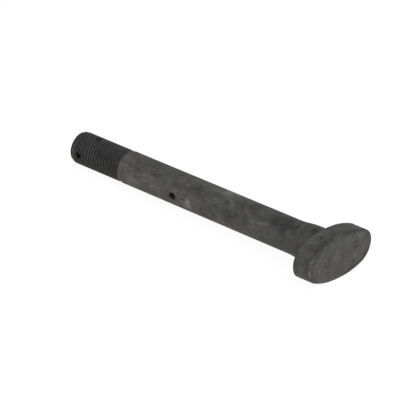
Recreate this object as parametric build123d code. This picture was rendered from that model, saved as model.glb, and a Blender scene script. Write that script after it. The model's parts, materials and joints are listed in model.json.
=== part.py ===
"""T slot bolt, M16 x 1.5, forged and machined from one piece of steel.

The bolt lies on its side. The origin is the centre of the bearing face under the head, on the
bolt's axis. +X runs along the shank to the threaded tip, the head's long axis is Y, and +Z is up.
The head fills negative X. The thread is a plain cylinder at its crest diameter.
"""
import os
from math import hypot

from build123d import *

# Driving sizes, in millimetres. Angles are in degrees.
shank_diameter = 16.0
grip_length = 111.5            # bearing face to the end of the plain shank
thread_length = 28.5           # end of the plain shank to the tip
crest_allowance = 0.075        # how far the thread's crests lie below the shank's surface

relief_depth = 0.6             # groove between the shank and the thread
relief_taper = 1.8             # the groove's long slope on the shank side
relief_rise = 0.6              # its short slope on the thread side
point_length = 1.6             # chamfer at the threaded tip
point_depth = 0.8

neck_rise = 0.9                # the neck's surface stands this far proud of the shank's
neck_length = 6.2
flare_length = 9.4             # smooth run from the neck down to the shank
seat_fillet = 1.2              # corner between the neck and the bearing face

head_length = 50.0
head_side_step = 2.35          # the head's long sides stand this far proud of the neck
head_end_radius = 8.6          # round ends of the head's oval outline
head_thickness = 10.0          # bearing face to the top of the crown
crown_height = 0.5             # rise of the outer face from the head's ends to its middle
outer_rim_round = 1.8
inner_rim_round = 0.9

outer_hole_diameter = 3.2      # cross hole nearest to the tip
outer_hole_inset = 4.8         # from the tip to this hole
outer_hole_turn = 100.0        # a hole's turn is measured from straight up towards +Y
inner_hole_diameter = 2.4      # second cross hole in the thread
hole_spacing = 6.0             # from the outer hole to the inner one
inner_hole_turn = 9.0
lock_hole_diameter = 3.6       # cross hole in the plain shank
lock_hole_distance = 78.7      # from the bearing face to this hole
lock_hole_turn = 101.0

# Sizes that follow from the ones above.
shank_radius = shank_diameter / 2
crest_radius = shank_radius - crest_allowance
relief_radius = shank_radius - relief_depth
point_radius = crest_radius - point_depth
neck_radius = shank_radius + neck_rise
half_width = neck_radius + head_side_step
half_length = head_length / 2
tip_distance = grip_length + thread_length


def oval_outline():
    """The head's outline on the bearing face: two flat side arcs and two round end arcs."""
    end_centre = half_length - head_end_radius
    side_radius = (end_centre**2 + half_width**2 - head_end_radius**2) / (
        2 * (half_width - head_end_radius)
    )
    side_offset = side_radius - half_width
    reach = head_end_radius / hypot(end_centre, side_offset)
    join_y = end_centre * (1 + reach)
    join_z = side_offset * reach
    with BuildSketch(Plane.YZ) as sketch:
        with BuildLine():
            ThreePointArc((-join_y, join_z), (0, half_width), (join_y, join_z))
            ThreePointArc((join_y, join_z), (half_length, 0), (join_y, -join_z))
            ThreePointArc((join_y, -join_z), (0, -half_width), (-join_y, -join_z))
            ThreePointArc((-join_y, -join_z), (-half_length, 0), (-join_y, join_z))
        make_face()
    return sketch.sketch


def forged_head():
    """The oval head with its low crown and rounded rims."""
    block = extrude(oval_outline(), amount=-head_thickness)
    crown_radius = (half_length**2 + crown_height**2) / (2 * crown_height)
    crown = Pos(crown_radius - head_thickness, 0, 0) * Sphere(crown_radius)
    head = block & crown
    outer_rim = head.faces().sort_by(Axis.X)[0].edges()
    head = fillet(outer_rim, outer_rim_round)
    inner_rim = head.faces().sort_by(Axis.X)[-1].edges()
    return fillet(inner_rim, inner_rim_round)


def turned_shank():
    """Neck, flare, plain shank, relief groove, threaded end and point, turned in one profile."""
    flare_end = neck_length + flare_length
    with BuildSketch() as profile:
        with BuildLine():
            Polyline(
                (-head_thickness / 2, 0),
                (-head_thickness / 2, neck_radius),
                (neck_length, neck_radius),
            )
            Spline(
                (neck_length, neck_radius),
                (flare_end, shank_radius),
                tangents=[(1, 0), (1, 0)],
            )
            Polyline(
                (flare_end, shank_radius),
                (grip_length - relief_taper, shank_radius),
                (grip_length, relief_radius),
                (grip_length + relief_rise, crest_radius),
                (tip_distance - point_length, crest_radius),
                (tip_distance, point_radius),
                (tip_distance, 0),
                (-head_thickness / 2, 0),
            )
        make_face()
    return revolve(profile.sketch, Axis.X)


def cross_hole(distance, diameter, turn):
    """A drill across the bolt's axis, turned about it from straight up towards +Y."""
    drill_length = 2 * neck_radius
    drill = Cylinder(diameter / 2, drill_length)
    return Pos(distance, 0, 0) * Rot(X=-turn) * drill


def t_slot_bolt():
    bolt = forged_head() + turned_shank()
    seat_corner = (
        bolt.edges()
        .filter_by(GeomType.CIRCLE)
        .filter_by(lambda edge: abs(edge.center().X) < 0.01 and abs(edge.radius - neck_radius) < 0.01)
    )
    bolt = fillet(seat_corner, seat_fillet)
    outer_hole_distance = tip_distance - outer_hole_inset
    inner_hole_distance = outer_hole_distance - hole_spacing
    bolt -= cross_hole(outer_hole_distance, outer_hole_diameter, outer_hole_turn)
    bolt -= cross_hole(inner_hole_distance, inner_hole_diameter, inner_hole_turn)
    bolt -= cross_hole(lock_hole_distance, lock_hole_diameter, lock_hole_turn)
    return bolt.solid()


os.makedirs("parts", exist_ok=True)
export_step(t_slot_bolt(), "parts/t_slot_bolt.step")
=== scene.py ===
"""The looks of the T slot bolt: one closed mesh with its real thread, and its black steel finish.

Lengths are written in millimetres and multiplied by MM. The bolt's axis is X, its head's long
axis is Y and its tip points along +X, as in the frame. Angles about the axis go from +Y to +Z.
"""
import json
import math

import bmesh
import bpy
import numpy as np
from mathutils import Matrix, Vector, noise

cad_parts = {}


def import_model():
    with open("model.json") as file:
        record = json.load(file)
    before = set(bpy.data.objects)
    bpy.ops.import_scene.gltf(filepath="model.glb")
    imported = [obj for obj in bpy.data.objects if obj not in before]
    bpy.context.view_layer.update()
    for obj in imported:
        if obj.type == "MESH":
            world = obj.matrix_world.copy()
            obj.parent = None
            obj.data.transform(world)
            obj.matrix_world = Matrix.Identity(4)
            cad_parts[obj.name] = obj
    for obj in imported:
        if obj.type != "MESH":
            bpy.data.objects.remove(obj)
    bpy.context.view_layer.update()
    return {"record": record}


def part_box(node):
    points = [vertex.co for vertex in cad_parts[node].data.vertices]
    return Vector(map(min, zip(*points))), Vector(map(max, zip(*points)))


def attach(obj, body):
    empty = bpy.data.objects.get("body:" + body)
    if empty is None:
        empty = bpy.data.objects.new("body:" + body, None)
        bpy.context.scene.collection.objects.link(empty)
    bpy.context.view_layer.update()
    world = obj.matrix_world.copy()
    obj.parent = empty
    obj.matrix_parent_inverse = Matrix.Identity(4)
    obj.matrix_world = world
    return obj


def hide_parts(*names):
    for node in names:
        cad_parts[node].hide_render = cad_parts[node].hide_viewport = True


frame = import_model()

MM = 0.001
NODE = "t_slot_bolt"

# Sizes that the frame gives.
mounts = {mount["name"]: mount for mount in frame["record"]["mounts"]}
bores = [mount for mount in mounts.values() if mount["kind"] == "bore"]
box_low, box_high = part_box(NODE)
TIP_X = box_high.x / MM
HALF_LENGTH = box_high.y / MM
HALF_WIDTH = box_high.z / MM
THICKNESS = -box_low.x / MM
SHANK_RADIUS = mounts["shank"]["dims"]["r_mm"]
CREST_RADIUS = mounts["thread"]["dims"]["r_mm"]

# Sizes that the frame doesn't give.
GRIP_LENGTH = 111.5            # bearing face to the end of the plain shank
PITCH = 1.5                    # of the thread, M16 x 1.5, right-hand
THREAD_DEPTH = 0.6134 * PITCH
HALF_CREST = 1 / 16            # half of a crest's flat, as a share of the pitch
FLANK = 5 / 16                 # a flank's run from the crest to the root, as a share of the pitch
RUN_OUT = 0.6 * PITCH          # over which the thread reaches its depth
RUN_OUT_LEAD = 0.2             # how far before GRIP_LENGTH that begins
TIP_COLLAR = 0.2               # at the very tip, which the thread's groove leaves whole
RELIEF_DEPTH = 0.6             # groove between the shank and the thread
RELIEF_TAPER = 1.8             # its long slope on the shank side
RELIEF_RISE = 0.6              # its short slope on the thread side
POINT_LENGTH = 1.6             # chamfer at the threaded tip
POINT_DEPTH = 0.8
NECK_RISE = 0.9                # how far the neck's surface stands proud of the shank's
NECK_LENGTH = 6.2
FLARE_LENGTH = 9.4             # from the neck down to the shank
SEAT_FILLET = 1.2              # corner between the neck and the bearing face
END_RADIUS = 8.6               # round ends of the head's outline
CROWN = 0.5                    # rise of the outer face from the head's ends to its middle
INNER_ROUND = 0.9              # rim of the bearing face
GROOVE_WIDTH = 1.5             # the shallow groove inside the outer rim, at the head's +Y end
GROOVE_DEPTH = 0.35
GROOVE_ANGLE = 7               # the groove's middle, about the axis
HOLE_BREAK = 0.2               # where a cross hole leaves the surface
BORE_MARGIN = 0.15             # from a bore's end in the record to just past that surface
FORGED_UNEVENNESS = 0.03       # on the plain shank
HEAD_UNEVENNESS = 0.09         # added to it on the head and the neck

# The outer rim's round, which is uneven: the angle about the axis, and the radius there.
RIM_ROUNDS = {-178: 0.6, -150: 1.2, -90: 1.7, -40: 1.1, 8: 0.7, 24: 0.9, 55: 3.0, 95: 1.6, 140: 1.2,
              170: 0.8}
RIM_BLUR = 6                   # columns over which a change of that radius is spread, on each side

COLUMNS = 256                  # points round the axis in each row of the mesh
STEPS_PER_TURN = 10            # rows of the thread in one turn of its helix
WELD_DISTANCE = 0.002
SHARP_ANGLE = 35

NECK_RADIUS = SHANK_RADIUS + NECK_RISE
POINT_RADIUS = CREST_RADIUS - POINT_DEPTH
RELIEF_RADIUS = SHANK_RADIUS - RELIEF_DEPTH
FLARE_END = NECK_LENGTH + FLARE_LENGTH
angles = np.arange(COLUMNS) * 2 * math.pi / COLUMNS


def smooth(value):
    """Smooth rise from 0 to 1 while value goes from 0 to 1."""
    t = np.clip(value, 0.0, 1.0)
    return t * t * (3 - 2 * t)


def rise(value, start, end):
    """Smooth rise from 0 to 1 while value goes from start to end; end may be the smaller one."""
    return smooth((value - start) / (end - start))


def bell(value, middle, width):
    """1 where value is at the middle, falling softly to 0 at about twice the width from there."""
    return np.exp(-(((value - middle) / width) ** 2))


def ring(x, radius):
    """One row of points round the axis; x and radius are numbers or one value a column."""
    row = np.empty((COLUMNS, 3))
    row[:, 0] = x
    row[:, 1] = radius * np.cos(angles)
    row[:, 2] = radius * np.sin(angles)
    return row


# ---------------------------------------------------------------- thread
def thread_radius(x, phase):
    """Radius of the threaded end at distance x, at that share of the pitch past a crest."""
    off_crest = np.abs((phase + 0.5) % 1.0 - 0.5)
    flank = np.clip((off_crest - HALF_CREST) / FLANK, 0.0, 1.0)
    run_out = smooth((x - GRIP_LENGTH + RUN_OUT_LEAD) / RUN_OUT)
    radius = CREST_RADIUS - THREAD_DEPTH * flank * run_out
    relief = RELIEF_RADIUS + (x - GRIP_LENGTH) * (CREST_RADIUS - RELIEF_RADIUS) / RELIEF_RISE
    point = POINT_RADIUS + (TIP_X - x) * POINT_DEPTH / POINT_LENGTH
    radius = np.minimum(radius, np.minimum(relief, point))
    return np.maximum(radius, np.where(x > TIP_X - TIP_COLLAR, POINT_RADIUS, 0.0))


def thread_points():
    """Rows that follow the helix: each row steps one pitch forward in one turn."""
    turns = (TIP_X - GRIP_LENGTH) / PITCH
    rows = []
    for step in range(-STEPS_PER_TURN, int(math.ceil(turns * STEPS_PER_TURN)) + 1):
        advance = step / STEPS_PER_TURN + np.arange(COLUMNS) / COLUMNS
        x = np.clip(GRIP_LENGTH + advance * PITCH, GRIP_LENGTH, TIP_X)
        phase = (step / STEPS_PER_TURN) % 1.0
        rows.append(ring(x, thread_radius(x, phase)))
    return rows


# ---------------------------------------------------------------- head
def oval():
    """Points and outward normals of the head's outline, one a column."""
    centre = HALF_LENGTH - END_RADIUS
    side = (centre**2 + HALF_WIDTH**2 - END_RADIUS**2) / (2 * (HALF_WIDTH - END_RADIUS))
    offset = side - HALF_WIDTH
    cos, sin = np.abs(np.cos(angles)), np.abs(np.sin(angles))
    inside = np.clip(END_RADIUS**2 - (centre * sin) ** 2, 0.0, None)
    end_reach = centre * cos + np.sqrt(inside)
    side_reach = -offset * sin + np.sqrt(side**2 - (offset * cos) ** 2)
    join = math.atan2(offset * END_RADIUS, centre * (math.hypot(centre, offset) + END_RADIUS))
    on_end = np.arctan2(sin, cos) < join
    reach = np.where(on_end, end_reach, side_reach)
    points = np.stack([reach * np.cos(angles), reach * np.sin(angles)], 1)
    centres = np.stack(
        [np.where(on_end, centre * np.sign(np.cos(angles)), 0.0),
         np.where(on_end, 0.0, -offset * np.sign(np.sin(angles)))], 1)
    normals = points - centres
    normals /= np.linalg.norm(normals, axis=1)[:, None]
    return points, normals


outline, outward = oval()
kinked = np.interp(np.degrees(angles), list(RIM_ROUNDS), list(RIM_ROUNDS.values()), period=360)
shifts = range(-RIM_BLUR, RIM_BLUR + 1)
rim_round = sum(np.roll(kinked, shift) for shift in shifts) / len(shifts)

# 1 at GROOVE_ANGLE, falling to 0 at 27 degrees on each side of it
grooved = smooth(9 * np.cos(angles - math.radians(GROOVE_ANGLE)) - 8)


def plate_ring(x, inset):
    """The outline drawn in by inset, at x; both are numbers or one value a column."""
    row = np.empty((COLUMNS, 3))
    row[:, 0] = x
    row[:, 1:] = outline - outward * np.reshape(inset, (-1, 1))
    return row


def face_x(flat):
    """The crowned outer face's x at points across it."""
    return -THICKNESS + CROWN * (flat**2).sum(1) / HALF_LENGTH**2


def head_rows():
    """Rows from the seat fillet over the bearing face, side wall and outer face to its middle."""
    rows = []
    start = ring(0.0, NECK_RADIUS + SEAT_FILLET)
    for share in np.linspace(0.15, 1.0, 7):
        rows.append(start * (1 - share) + plate_ring(0.0, INNER_ROUND) * share)
    for turn in np.radians(np.linspace(15, 90, 6)):
        x = -INNER_ROUND * (1 - math.cos(turn))
        rows.append(plate_ring(x, INNER_ROUND * (1 - math.sin(turn))))
    rim = face_x(outline) + rim_round
    for share in np.linspace(0, 1, 12)[1:-1]:
        rows.append(plate_ring(-INNER_ROUND * (1 - share) + rim * share, 0.0))
    for turn in np.radians(np.linspace(0, 90, 9)):
        row = plate_ring(0.0, rim_round * (1 - math.cos(turn)))
        row[:, 0] = face_x(row[:, 1:]) + rim_round * (1 - math.sin(turn))
        rows.append(row)
    for share in np.linspace(0, 1, 9)[1:]:
        row = plate_ring(0.0, rim_round + GROOVE_WIDTH * share)
        row[:, 0] = face_x(row[:, 1:]) + GROOVE_DEPTH * grooved * math.sin(math.pi * share) ** 2
        rows.append(row)
    last = rows[-1]
    for share in np.linspace(1.0, 0.0, 24)[1:-1]:
        row = last.copy()
        row[:, 1:] *= share
        row[:, 0] = face_x(row[:, 1:])
        rows.append(row)
    return rows


def shank_rows():
    """Rows from the relief groove along the plain shank, flare and neck to the seat fillet."""
    rows = []
    for share in np.linspace(0.0, 1.0, 5)[1:]:
        rows.append(ring(GRIP_LENGTH - RELIEF_TAPER * share, RELIEF_RADIUS + RELIEF_DEPTH * share))
    for x in np.linspace(GRIP_LENGTH - RELIEF_TAPER, FLARE_END, 76)[1:]:
        rows.append(ring(x, SHANK_RADIUS))
    for share in np.linspace(0.0, 1.0, 13)[1:]:
        radius = SHANK_RADIUS + NECK_RISE * float(smooth(share))
        rows.append(ring(FLARE_END - FLARE_LENGTH * share, radius))
    for x in np.linspace(NECK_LENGTH, SEAT_FILLET, 6)[1:]:
        rows.append(ring(x, NECK_RADIUS))
    for turn in np.radians(np.linspace(0, 90, 7))[1:]:
        radius = NECK_RADIUS + SEAT_FILLET * (1 - math.cos(turn))
        rows.append(ring(SEAT_FILLET * (1 - math.sin(turn)), radius))
    return rows


# ---------------------------------------------------------------- mesh
def build_body():
    """The whole bolt without its cross holes, as one closed mesh."""
    thread = thread_points()
    smooth_rows = shank_rows() + head_rows()
    tip_rows = [ring(TIP_X, POINT_RADIUS * share) for share in (0.25, 0.5, 0.75, 0.92)]
    vertices, faces = [], []

    def add(rows):
        first = len(vertices) // COLUMNS
        for row in rows:
            vertices.extend(row.tolist())
        return first

    def band(row_a, row_b):
        for column in range(COLUMNS):
            after = (column + 1) % COLUMNS
            faces.append((row_a * COLUMNS + column, row_a * COLUMNS + after,
                          row_b * COLUMNS + after, row_b * COLUMNS + column))

    tip = add(tip_rows)
    for index in range(len(tip_rows) - 1):
        band(tip + index, tip + index + 1)
    first = add(thread)
    for index in range(len(thread) - 1):
        low, high = first + index, first + index + 1
        for column in range(COLUMNS):
            after = column + 1
            if after < COLUMNS:
                corner_a, corner_b = high * COLUMNS + after, low * COLUMNS + after
            elif index + 1 + STEPS_PER_TURN < len(thread):
                # a row ends where the row one turn further along the helix starts
                corner_a = (high + STEPS_PER_TURN) * COLUMNS
                corner_b = (low + STEPS_PER_TURN) * COLUMNS
            else:
                continue
            faces.append((high * COLUMNS + column, corner_a, corner_b, low * COLUMNS + column))
    band(tip + len(tip_rows) - 1, first + len(thread) - 1)
    rest = add(smooth_rows)
    band(first, rest)
    for index in range(len(smooth_rows) - 1):
        band(rest + index, rest + index + 1)
    tip_pole = len(vertices)
    vertices.append((TIP_X, 0.0, 0.0))
    head_pole = len(vertices)
    vertices.append((-THICKNESS, 0.0, 0.0))
    end = rest + len(smooth_rows) - 1
    for column in range(COLUMNS):
        after = (column + 1) % COLUMNS
        faces.append((tip_pole, tip * COLUMNS + after, tip * COLUMNS + column))
        faces.append((head_pole, end * COLUMNS + column, end * COLUMNS + after))
    mesh = bpy.data.meshes.new("bolt_body")
    mesh.from_pydata((np.array(vertices) * MM).tolist(), [], faces)
    return mesh


def clean(mesh):
    """Welds the doubled points at the thread's two ends and drops the faces they close."""
    work = bmesh.new()
    work.from_mesh(mesh)
    bmesh.ops.remove_doubles(work, verts=work.verts, dist=WELD_DISTANCE * MM)
    bmesh.ops.dissolve_degenerate(work, edges=work.edges, dist=0.5 * WELD_DISTANCE * MM)
    bmesh.ops.recalc_face_normals(work, faces=work.faces)
    open_edges = sum(1 for edge in work.edges if not edge.is_manifold)
    print("open edges", open_edges, "faces", len(work.faces))
    work.to_mesh(mesh)
    work.free()
    mesh.update()


def forge(mesh):
    """Presses the forged unevenness into the surface, always inwards, so that the box is kept."""
    for vertex, corner in zip(mesh.vertices, mesh.vertex_normals):
        x, y, z = vertex.co / MM
        if x > GRIP_LENGTH - RELIEF_TAPER:
            continue
        near_head = 1 - float(smooth((x - FLARE_END + 4) / 8))
        rough = FORGED_UNEVENNESS + HEAD_UNEVENNESS * near_head
        lumps = noise.noise(Vector((x / 7, y / 5, z / 5)))
        lumps += 0.5 * noise.noise(Vector((x, y, z)) / 1.9)
        vertex.co -= corner.vector * rough * (0.5 + 0.5 * lumps) * MM
    mesh.update()


def cutter(bore):
    """A drill for one cross hole, with a small break where it leaves the surface."""
    radius = bore["dims"]["r_mm"]
    surface = bore["dims"]["length_mm"] / 2 + BORE_MARGIN
    steps = 48
    beyond = 2
    profile = [(-surface - beyond, radius + HOLE_BREAK + beyond),
               (-surface + HOLE_BREAK, radius),
               (surface - HOLE_BREAK, radius),
               (surface + beyond, radius + HOLE_BREAK + beyond)]
    vertices = [(r * math.cos(2 * math.pi * s / steps), r * math.sin(2 * math.pi * s / steps), z)
                for z, r in profile for s in range(steps)]
    faces = [tuple(range(steps))[::-1], tuple(range(3 * steps, 4 * steps))]
    for level in range(3):
        for s in range(steps):
            after = (s + 1) % steps
            low, high = level * steps, (level + 1) * steps
            faces.append((low + s, low + after, high + after, high + s))
    mesh = bpy.data.meshes.new("cutter")
    mesh.from_pydata((np.array(vertices) * MM).tolist(), [], faces)
    tool = bpy.data.objects.new("cutter", mesh)
    turn = Vector(bore["axis"]).to_track_quat("Z", "Y").to_matrix().to_4x4()
    tool.matrix_world = Matrix.Translation(Vector(bore["pos_m"])) @ turn
    bpy.context.scene.collection.objects.link(tool)
    return tool


def drill(bolt):
    """Cuts the cross holes that the record's bores give."""
    for bore in bores:
        tool = cutter(bore)
        cut = bolt.modifiers.new("hole", "BOOLEAN")
        cut.operation = "DIFFERENCE"
        cut.solver = "EXACT"
        cut.object = tool
        bpy.context.view_layer.objects.active = bolt
        bpy.ops.object.modifier_apply(modifier=cut.name)
        bpy.data.objects.remove(tool, do_unlink=True)


# ---------------------------------------------------------------- painted light and shade, wear and dirt
WALL_DARK_BAND_START = -8.3              # a darker band on the side wall near the rim, by x, and how far it climbs
WALL_DARK_BAND_CLIMB = 2.2
CLOG_INSET = 5.2               # the part of the thread that dirt has filled, from the tip


def head_layers(x, radius, turn):
    """Where the head has painted shade and light, a darker band and rubbed edges, from 0 to 1 at
    each point.
    """
    degrees = np.degrees(turn)

    def around(values):
        return np.interp(turn, angles, values, period=2 * math.pi)

    rim = around(rim_round)
    inset = around(np.hypot(*outline.T)) - radius
    on_face = x < -THICKNESS + CROWN + rim + 0.3
    face = rise(inset, rim, rim + 1.5) * on_face
    # painted shade in the shallow groove inside the outer rim
    groove = bell(inset, rim + 0.5 * GROOVE_WIDTH, 0.5 * GROOVE_WIDTH) * around(grooved) * on_face

    # the rim's edge at the +Y end, rubbed bright and given a painted highlight
    edge = bell(inset, 0.35 * rim, 0.5) * rise(np.abs(degrees), 14, 6) * on_face

    # a darker band on the side wall near the rim, at the +Y end's upper corner
    wall_dark_band_x = WALL_DARK_BAND_START + WALL_DARK_BAND_CLIMB * rise(degrees, 30, 75)
    wall_dark_band = bell(x, wall_dark_band_x, 1.2) * (inset < 1.5)
    wall_dark_band *= rise(degrees, 8, 20) * rise(degrees, 80, 65)

    # painted shade on the upper part of the side wall
    wall = (x < 0.0) * rise(inset, 1.2, 0.2)
    top_wall_shade = wall * rise(degrees, 50, 75) * rise(degrees, 175, 145)

    # painted shade on the outer rim, where it faces down and away from the light: narrow along the
    # upper side, widest and darkest at the lower -Y corner
    inwards = inset - np.clip(x + THICKNESS - CROWN, 0.0, None)
    low_side = (degrees < 0) * rise(degrees, -180, -166)
    reach = 2.4 + 2.6 * low_side
    painted_rim_shade = rise(degrees, 78, 92)
    painted_rim_shade += 0.35 * rise(degrees, -60, -90) + 0.65 * rise(degrees, -128, -144)
    painted_rim_shade *= (0.6 + 0.4 * low_side) * rise(inwards, reach, reach - 2.0)
    painted_rim_shade *= rise(inwards, -1.2, -0.3) * (x < -0.3 * THICKNESS)
    return {"face": face, "groove": groove, "edge": edge, "wall_dark_band": wall_dark_band, "top_wall_shade": top_wall_shade,
            "painted_rim_shade": painted_rim_shade}


# the walls of the cross holes, which get painted shade through LAYER_SHARES
def bore_layer(x, y, z):
    """1 on the walls of the cross holes, 0 elsewhere."""
    layer = np.zeros(len(x))
    for bore in bores:
        along = y * bore["axis"][1] + z * bore["axis"][2]
        off_axis = np.sqrt((x - bore["pos_m"][0] / MM) ** 2 + y**2 + z**2 - along**2)
        layer[off_axis < bore["dims"]["r_mm"] + 0.12] = 1.0
    return layer


def thread_layers(x, radius, turn, in_bore):
    """Where the thread has painted shade (roots, point), worn crests with painted highlight, and
    dirt, from 0 to 1 at each point.
    """
    degrees = np.degrees(turn)
    root_radius = CREST_RADIUS - THREAD_DEPTH
    threaded = (x > GRIP_LENGTH - 0.25) * 1.0
    cut = threaded * (x < TIP_X - 0.05)
    clogged = 0.55 * bell(x, TIP_X - CLOG_INSET, 1.8)
    clogged *= rise(degrees, 45, 57) * rise(degrees, 110, 98)
    # painted shade in the thread's roots
    root = cut * rise(radius, root_radius + 0.8 * THREAD_DEPTH, root_radius) * (1 - clogged)
    crest = cut * rise(radius, CREST_RADIUS - 0.13, CREST_RADIUS - 0.01) * (1 - clogged)
    crest *= 1 - in_bore
    point_edge = cut * (1 - in_bore) * bell(x, TIP_X - POINT_LENGTH - 0.3, 0.4)
    # painted shade on the end of the point's chamfer
    point = cut * rise(x, TIP_X - 1.4, TIP_X - 0.9)
    return {"threaded": threaded, "root": root, "crest": crest, "point_edge": point_edge,
            "point": point}


def mark_surface(mesh):
    """Stores on the mesh, at each point, where shade and light are painted, where dirt settles and
    where the edges are worn.
    """
    co = np.empty(len(mesh.vertices) * 3)
    mesh.vertices.foreach_get("co", co)
    x, y, z = (co.reshape(-1, 3) / MM).T
    radius = np.hypot(y, z)
    turn = np.arctan2(z, y)
    layers = {"bore": bore_layer(x, y, z), "shoulder": bell(x, GRIP_LENGTH - RELIEF_TAPER, 0.9)}
    layers.update(head_layers(x, radius, turn))
    layers.update(thread_layers(x, radius, turn, layers["bore"]))
    for name, values in layers.items():
        layer = mesh.attributes.new(name, "FLOAT", "POINT")
        layer.data.foreach_set("value", values.astype(np.float32))


# ---------------------------------------------------------------- material
class Tree:
    """Short calls for building the node tree of a material or a world."""

    def __init__(self, owner):
        owner.use_nodes = True
        self.nodes, self.links = owner.node_tree.nodes, owner.node_tree.links

    def put(self, kind, **settings):
        node = self.nodes.new("ShaderNode" + kind)
        for name, value in settings.items():
            setattr(node, name, value)
        return node

    def feed(self, socket, value):
        if isinstance(value, bpy.types.NodeSocket):
            self.links.new(value, socket)
        else:
            socket.default_value = value

    def math(self, operation, a, b):
        node = self.put("Math", operation=operation)
        self.feed(node.inputs[0], a)
        self.feed(node.inputs[1], b)
        return node.outputs[0]

    def total(self, *terms):
        """The sum of value times weight over the terms."""
        result = 0.0
        for value, weight in terms:
            result = self.math("ADD", self.math("MULTIPLY", value, weight), result)
        return result

    def ramp(self, value, low, high, to_low=0.0, to_high=1.0):
        """Smooth change from to_low to to_high while value goes from low to high."""
        node = self.put("MapRange", interpolation_type="SMOOTHSTEP")
        for socket, number in zip(node.inputs, (value, low, high, to_low, to_high)):
            self.feed(socket, number)
        return node.outputs[0]

    def noise(self, vector, scale, detail, roughness):
        node = self.put("TexNoise")
        self.feed(node.inputs["Vector"], vector)
        self.feed(node.inputs["Scale"], scale)
        self.feed(node.inputs["Detail"], detail)
        self.feed(node.inputs["Roughness"], roughness)
        return node.outputs["Fac"]

    def attribute(self, name):
        return self.put("Attribute", attribute_name=name).outputs["Fac"]

    def along(self, vector, axis):
        node = self.put("SeparateXYZ")
        self.feed(node.inputs[0], vector)
        return node.outputs[axis]

    def scaled(self, vector, scale, offset=(0, 0, 0)):
        node = self.put("Mapping")
        self.feed(node.inputs["Vector"], vector)
        self.feed(node.inputs["Scale"], scale)
        self.feed(node.inputs["Location"], offset)
        return node.outputs[0]

    def mixed(self, factor, a, b):
        node = self.put("Mix", data_type="RGBA")
        self.feed(node.inputs[0], factor)
        self.feed(node.inputs[6], a)
        self.feed(node.inputs[7], b)
        return node.outputs[2]

    def spot(self, vector, centre, reach):
        """1 at centre, falling to 0 at that reach along X, Y and Z."""
        away = self.put("VectorMath", operation="SUBTRACT")
        self.feed(away.inputs[0], vector)
        self.feed(away.inputs[1], centre)
        shrunk = self.put("VectorMath", operation="DIVIDE")
        self.feed(shrunk.inputs[0], away.outputs[0])
        self.feed(shrunk.inputs[1], reach)
        length = self.put("VectorMath", operation="LENGTH")
        self.feed(length.inputs[0], shrunk.outputs[0])
        return self.ramp(length.outputs["Value"], 1.0, 0.3)


def on_shank(x, degrees, radius=SHANK_RADIUS):
    """The point of the shank's surface at distance x and that angle."""
    turn = math.radians(degrees)
    return (x, radius * math.cos(turn), radius * math.sin(turn))


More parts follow.
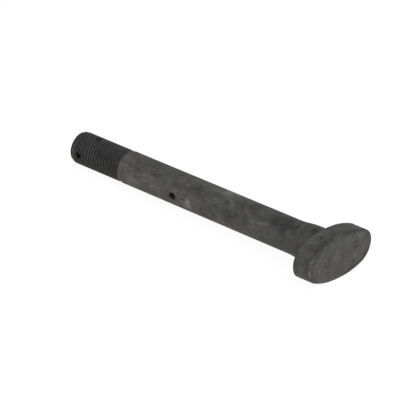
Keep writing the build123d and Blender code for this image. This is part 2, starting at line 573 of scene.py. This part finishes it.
# Marks on the surface: centre, reach along X, Y and Z, and how much lighter, or darker below 0.
MARKS = [
    # the pale scuff beside the cross hole, and a darker patch at that hole's mouth
    (on_shank(69.8, -10), (1.7, 1.8, 2.6), 1.15),
    (on_shank(68.4, -24), (1.4, 1.8, 2.2), 1.15),
    (on_shank(70.8, -32), (2.0, 2.0, 1.8), 1.0),
    (on_shank(70.0, -17), (4.5, 3.0, 4.8), 0.50),
    (on_shank(81.2, -12), (1.4, 2.0, 2.2), -0.25),
    # the pale scratch ahead of the neck
    (on_shank(34.6, 16), (2.4, 1.0, 1.0), 0.35),
    (on_shank(32.0, 19), (2.2, 1.0, 0.9), 0.42),
    (on_shank(30.0, 22), (2.2, 1.0, 0.9), 0.45),
    (on_shank(28.0, 25), (2.2, 1.0, 1.0), 0.45),
    (on_shank(26.4, 28), (2.0, 1.0, 1.4), 0.45),
    # lighter and darker places of the thread, the broad lighter ones low on its front being painted
    # light from below, and a painted glint at its shoulder
    (on_shank(138.5, -10), (3.0, 8.0, 7.0), 0.45),
    (on_shank(126.0, -14), (12.0, 7.0, 7.0), 0.16),
    (on_shank(129.2, 80), (1.4, 1.8, 1.2), -0.8),
    (on_shank(132.8, -8), (0.8, 1.0, 1.7), 1.7),
    (on_shank(131.8, 10), (0.9, 1.0, 1.2), 0.7),
    (on_shank(130.6, 70), (1.0, 1.2, 1.0), 0.7),
    (on_shank(132.6, 42), (0.9, 1.0, 1.0), -0.6),
    (on_shank(122.2, 74), (0.9, 1.0, 1.0), -0.6),
    (on_shank(111.0, 65), (0.7, 2.5, 2.5), 0.5),
    # broad lighter and darker areas of the shank; the lighter ones low on its front side are painted
    # light, as from the floor below
    (on_shank(104.0, 0), (8.0, 7.0, 8.0), 0.34),
    (on_shank(107.0, 48), (4.5, 5.0, 5.0), 0.35),
    (on_shank(96.0, 3), (5.0, 4.0, 5.0), 0.25),
    (on_shank(94.0, -6), (17.0, 8.0, 7.0), 0.26),
    (on_shank(77.0, 64), (5.0, 6.0, 6.0), 0.35),
    (on_shank(72.5, -10), (6.0, 4.0, 5.0), 0.30),
    (on_shank(57.0, 85), (15.0, 5.0, 4.0), 0.50),
    (on_shank(56.0, -8), (6.0, 6.0, 6.0), -0.20),
    (on_shank(51.0, 90), (7.0, 4.0, 2.5), 0.25),
    (on_shank(49.5, 40), (5.0, 5.0, 5.0), 0.40),
    (on_shank(48.0, 80), (6.0, 5.0, 4.0), 0.30),
    (on_shank(28.0, 8), (12.0, 7.0, 7.0), 0.28),
    (on_shank(19.5, 52), (10.5, 6.5, 6.0), -0.56),
    # painted light and shade on the flare and the neck: lighter where they face the light, painted
    # shade in a crease of the flare and next to the head
    (on_shank(15.5, 28), (2.5, 3.0, 3.0), 0.35),
    (on_shank(12.6, 72), (1.2, 4.5, 3.5), -0.47),
    (on_shank(10.0, 14, NECK_RADIUS), (4.0, 4.0, 4.0), 0.25),
    (on_shank(6.4, 12, NECK_RADIUS), (0.8, 1.5, 2.6), -0.35),
    (on_shank(4.0, 70, NECK_RADIUS), (2.6, 4.5, 3.5), -0.45),
    # dents on the head's outer face, drawn as painted shade, and lighter specks
    ((-THICKNESS, -10.2, 4.8), (2.0, 4.5, 4.5), -0.35),
    ((-THICKNESS, -8.6, 5.2), (1.5, 4.0, 1.1), -0.35),
    ((-THICKNESS, -11.3, 2.3), (1.5, 3.5, 1.1), -0.40),
    ((-THICKNESS, -8.4, -3.6), (1.5, 3.5, 2.4), 0.30),
    ((-THICKNESS, -19.5, -4.0), (1.5, 4.0, 3.0), -0.30),
    ((-THICKNESS, 7.0, 1.2), (1.0, 1.9, 0.8), 1.2),
    ((-THICKNESS, 11.2, 1.4), (1.0, 1.5, 0.7), -0.5),
    ((-THICKNESS, 17.4, -2.8), (1.0, 0.7, 1.6), 1.1),
]

# How light each layer is against plain scale, where the layer is at its full strength. The groove,
# the outer rim, the upper side wall, the thread's roots, the holes' walls and the point get painted
# shade here, and the outer face gets painted light.
LAYER_SHARES = {"groove": 0.6, "wall_dark_band": 0.62, "painted_rim_shade": 0.42, "top_wall_shade": 0.80, "face": 1.10,
                "root": 0.5, "threaded": 0.70, "bore": 0.7, "point": 0.5}
DARKEST = 0.12

# How much lighter worn metal is, in each layer; on the crests and the rim's edge this is partly
# painted highlight.
CREST_WEAR_AND_HIGHLIGHT = 1.7
EDGE_WEAR_AND_HIGHLIGHT = 1.5
POINT_WEAR = 0.7
SHOULDER_WEAR = 0.25

# The noises: how far they are squeezed along X, Y and Z, offset, scale, detail and roughness.
NOISES = {
    "patches": ((0.7, 1, 1), (5, 60, 21), 0.07, 2.0, 0.5),
    "clouds": ((1, 1, 1), (0, 0, 0), 0.16, 4.0, 0.6),
    "blotches": ((0.7, 1, 1), (31, 7, 3), 0.55, 3.0, 0.55),
    "grain": ((1, 1, 1), (0, 0, 0), 2.2, 2.0, 0.6),
    "streaks": ((0.16, 1, 1), (3, 50, 9), 0.9, 2.0, 0.5),
    "nicks": ((1, 1, 1), (8, 44, 30), 1.1, 2.0, 0.6),
    "warm": ((1, 1, 1), (70, 11, 5), 0.11, 2.0, 0.55),
    "green": ((1, 1, 1), (17, 80, 2), 0.14, 2.0, 0.55),
    "rust": ((1, 1, 1), (9, 2, 77), 0.28, 3.0, 0.55),
}
NOISE_WEIGHTS = {"patches": 0.9, "clouds": 2.5, "blotches": 1.3, "grain": 1.2}
STREAK_WEIGHT = 0.9
HEAD_GRAIN = 1.4               # extra grain on the head, and more of it on its outer face
FACE_GRAIN = 0.8

# The grey at a lightness of 1: red and blue from its cool places to its warm ones, and green
# between the two ends of its own noise.
RED = (0.0590, 0.0634)
GREEN = (0.0592, 0.0606)
BLUE = (0.0588, 0.0542)
RUST = (0.100, 0.078, 0.064, 1)
RUST_SHARE = 0.2

SMOOTHEST = 0.60               # the shader's roughness
ROUGHEST = 0.80
BUMP_DISTANCE = 0.12 * MM


def mottling(tree, place, noises):
    """The plain scale's lightness, about 1: broad and fine noises, and streaks along the shank."""
    terms = [(noises[name], weight) for name, weight in NOISE_WEIGHTS.items()]
    level = tree.total(*terms, (1.0, 1.0 - 0.5 * sum(NOISE_WEIGHTS.values())))
    off_head = tree.ramp(tree.along(place, "X"), 4.0, 20.0)
    drawn = tree.math("MULTIPLY", tree.math("SUBTRACT", noises["streaks"], 0.5), off_head)
    level = tree.total((drawn, STREAK_WEIGHT), (level, 1.0))

    # the thread, the face and the smoky area at the neck are calmer than the shank
    neck = tree.spot(place, (22, 0, 0), (24, 24, 24))
    calm = tree.total((tree.attribute("threaded"), 0.5), (tree.attribute("face"), 0.3), (neck, 0.45))
    pull = tree.math("MULTIPLY", tree.math("SUBTRACT", 1.0, level), calm)
    return tree.math("ADD", level, pull)


def marked(tree, place, noises, level):
    """That lightness with the marks, the wear and painted highlights on the edges, and the painted
    shade in the corners.
    """
    for centre, reach, strength in MARKS:
        uneven = tree.ramp(noises["blotches"], 0.3, 0.6, 0.5 * strength, 1.3 * strength)
        mark = tree.math("MULTIPLY", tree.spot(place, centre, reach), uneven)
        level = tree.math("ADD", level, mark)
    # worn crests and the rubbed rim edge, lighter from wear and from a painted highlight along them
    crest_wear_and_highlight = tree.math("MULTIPLY", tree.attribute("crest"), tree.ramp(noises["nicks"], 0.42, 0.60))
    edge_wear_and_highlight = tree.math("MULTIPLY", tree.attribute("edge"), tree.ramp(noises["nicks"], 0.44, 0.60))
    on_head = tree.ramp(tree.along(place, "X"), 1.0, -1.0)
    rough = tree.total((on_head, HEAD_GRAIN), (tree.attribute("face"), FACE_GRAIN))
    coarse = tree.math("MULTIPLY", tree.math("SUBTRACT", noises["grain"], 0.5), rough)
    level = tree.total((crest_wear_and_highlight, CREST_WEAR_AND_HIGHLIGHT), (edge_wear_and_highlight, EDGE_WEAR_AND_HIGHLIGHT), (coarse, 1.0),
                       (tree.attribute("shoulder"), SHOULDER_WEAR),
                       (tree.attribute("point_edge"), POINT_WEAR), (level, 1.0))
    for name, share in LAYER_SHARES.items():
        layer = tree.ramp(tree.attribute(name), 0.0, 1.0, 1.0, share)
        level = tree.math("MULTIPLY", level, layer)
    return tree.math("MAXIMUM", level, DARKEST)


def tinted(tree, place, noises, level):
    """The scale's colour at that lightness: grey, warmer or cooler by area, with a trace of rust."""
    # cooler on the thread, on the upper side, towards the head and in two patches
    cool = tree.total(
        (tree.attribute("threaded"), 0.20),
        (tree.ramp(tree.along(place, "Z"), -1.0, 8.0), 0.16),
        (tree.ramp(tree.along(place, "X"), 90.0, 20.0), 0.05),
        (tree.spot(place, (54, 0, 9), (30, 6, 5)), 0.22),
        (tree.spot(place, (21, 7, 0), (11, 6, 7)), 0.16),
        (-0.06, 1.0))
    warm = tree.math("SUBTRACT", noises["warm"], cool)
    tints = (tree.ramp(warm, 0.2, 0.7, *RED),
             tree.ramp(noises["green"], 0.3, 0.7, *GREEN),
             tree.ramp(warm, 0.2, 0.7, *BLUE))
    grey = tree.put("CombineXYZ")
    for socket, tint in zip(grey.inputs, tints):
        tree.feed(socket, tree.math("MULTIPLY", level, tint))
    rusty = tree.ramp(noises["rust"], 0.60, 0.74, 0.0, RUST_SHARE)
    return tree.mixed(rusty, grey.outputs[0], RUST)


def black_steel():
    """Dark heat-treatment scale: mottled, faintly streaked, worn on edges, with painted shade in its
    corners and painted light and shade where the light falls.
    """
    material = bpy.data.materials.new("black_steel")
    tree = Tree(material)
    shader = tree.nodes["Principled BSDF"]
    place = tree.scaled(tree.put("TexCoord").outputs["Object"], (1 / MM,) * 3)
    noises = {}
    for name, (squeeze, offset, scale, detail, roughness) in NOISES.items():
        noises[name] = tree.noise(tree.scaled(place, squeeze, offset), scale, detail, roughness)
    level = marked(tree, place, noises, mottling(tree, place, noises))
    roughness = tree.ramp(noises["blotches"], 0.3, 0.7, SMOOTHEST, ROUGHEST)
    bump = tree.put("Bump")
    tree.feed(bump.inputs["Height"], tree.total((noises["blotches"], 0.7), (noises["grain"], 0.5)))
    tree.feed(bump.inputs["Strength"], 0.35)
    tree.feed(bump.inputs["Distance"], BUMP_DISTANCE)
    tree.feed(shader.inputs["Base Color"], tinted(tree, place, noises, level))
    tree.feed(shader.inputs["Roughness"], roughness)
    tree.feed(shader.inputs["IOR"], 1.4)
    tree.feed(shader.inputs["Normal"], bump.outputs[0])
    return material


# ---------------------------------------------------------------- the bolt
body_mesh = build_body()
clean(body_mesh)
forge(body_mesh)
bolt = bpy.data.objects.new("t_slot_bolt_body", body_mesh)
bpy.context.scene.collection.objects.link(bolt)
drill(bolt)
mark_surface(bolt.data)
bolt.data.materials.clear()
bolt.data.materials.append(black_steel())
for polygon in bolt.data.polygons:
    polygon.use_smooth = True
    polygon.material_index = 0
bolt.data.set_sharp_from_angle(angle=math.radians(SHARP_ANGLE))
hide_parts(NODE)
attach(bolt, "root")

# ---------------------------------------------------------------- floor, light and camera
# The bolt lies on the head's lower edge and the thread's end, so the floor is tilted under it.
FLOOR_TILT = math.atan2(HALF_WIDTH - CREST_RADIUS, TIP_X - POINT_LENGTH + THICKNESS / 2)
FLOOR_GAP = 0.05
FLOOR_SIZE = 4.0               # in metres
FLOOR_COLOUR = (0.88, 0.88, 0.88, 1)
FLOOR_WHITE = 1.08             # strength of the white that the camera sees
FLOOR_WHITE_SHARE = 0.86       # share of that white; the rest keeps the object's shadow


def floor():
    """A pale floor that touches the head's underside and the thread's end, and shows as white."""
    mesh = bpy.data.meshes.new("floor")
    half = FLOOR_SIZE / 2
    corners = [(-half, -half, 0), (half, -half, 0), (half, half, 0), (-half, half, 0)]
    mesh.from_pydata(corners, [], [(0, 1, 2, 3)])
    plane = bpy.data.objects.new("floor", mesh)
    bpy.context.scene.collection.objects.link(plane)
    plane.rotation_euler = (0, -FLOOR_TILT, 0)
    plane.location = (-THICKNESS / 2 * MM, 0, -(HALF_WIDTH + FLOOR_GAP) * MM)
    material = bpy.data.materials.new("floor")
    tree = Tree(material)
    tree.nodes.clear()
    diffuse = tree.put("BsdfDiffuse")
    tree.feed(diffuse.inputs["Color"], FLOOR_COLOUR)
    white = tree.put("Emission")
    tree.feed(white.inputs["Strength"], FLOOR_WHITE)
    rays = tree.put("LightPath")
    seen = tree.math("MULTIPLY", rays.outputs["Is Camera Ray"], FLOOR_WHITE_SHARE)
    mix = tree.put("MixShader")
    tree.feed(mix.inputs[0], tree.math("MAXIMUM", seen, rays.outputs["Is Glossy Ray"]))
    tree.feed(mix.inputs[1], diffuse.outputs[0])
    tree.feed(mix.inputs[2], white.outputs[0])
    tree.feed(tree.put("OutputMaterial").inputs["Surface"], mix.outputs[0])
    plane.data.materials.append(material)


LIGHT_FROM = (-0.75, 0.42, -0.51)      # where the surroundings are brightest
BRIGHT_SIDE = 1.34                     # their strength there, and on the opposite side
DIM_SIDE = 0.62


def world():
    """White surroundings, softly brighter beyond the head; the camera sees plain white."""
    studio = bpy.data.worlds.new("studio")
    bpy.context.scene.world = studio
    tree = Tree(studio)
    background = tree.nodes["Background"]
    tree.feed(background.inputs["Color"], (1, 1, 1, 1))
    towards = tree.put("VectorMath", operation="DOT_PRODUCT")
    tree.feed(towards.inputs[0], tree.put("TexCoord").outputs["Generated"])
    tree.feed(towards.inputs[1], LIGHT_FROM)
    light = tree.ramp(towards.outputs["Value"], -1.0, 1.0, DIM_SIDE, BRIGHT_SIDE)
    seen = tree.put("LightPath").outputs["Is Camera Ray"]
    tree.feed(background.inputs["Strength"], tree.math("MAXIMUM", light, seen))


CAMERA_AIM = Vector((63.35, -0.10, -3.63)) * MM
CAMERA_DISTANCE = 952.8 * MM
CAMERA_BEARING = math.radians(122.614)     # from +X towards +Y, as seen from above
CAMERA_RISE = math.radians(21.980)
CAMERA_ROLL = math.radians(-9.534)
CAMERA_LENS = 180.5


def camera():
    """The photo's view, with the bolt's outline where the photo has it."""
    data = bpy.data.cameras.new("camera")
    data.lens = CAMERA_LENS
    data.sensor_width = 36.0
    data.clip_start = 0.01
    data.clip_end = 20.0
    eye = bpy.data.objects.new("camera", data)
    bpy.context.scene.collection.objects.link(eye)
    back = Vector((math.cos(CAMERA_BEARING) * math.cos(CAMERA_RISE),
                   math.sin(CAMERA_BEARING) * math.cos(CAMERA_RISE), math.sin(CAMERA_RISE)))
    right = Vector((0, 0, 1)).cross(back).normalized()
    up = back.cross(right)
    turn = Matrix((right, up, back)).transposed() @ Matrix.Rotation(-CAMERA_ROLL, 3, "Z")
    eye.matrix_world = Matrix.Translation(CAMERA_AIM + back * CAMERA_DISTANCE) @ turn.to_4x4()
    bpy.context.scene.camera = eye


floor()
world()
camera()
bpy.context.scene.view_settings.view_transform = "Standard"
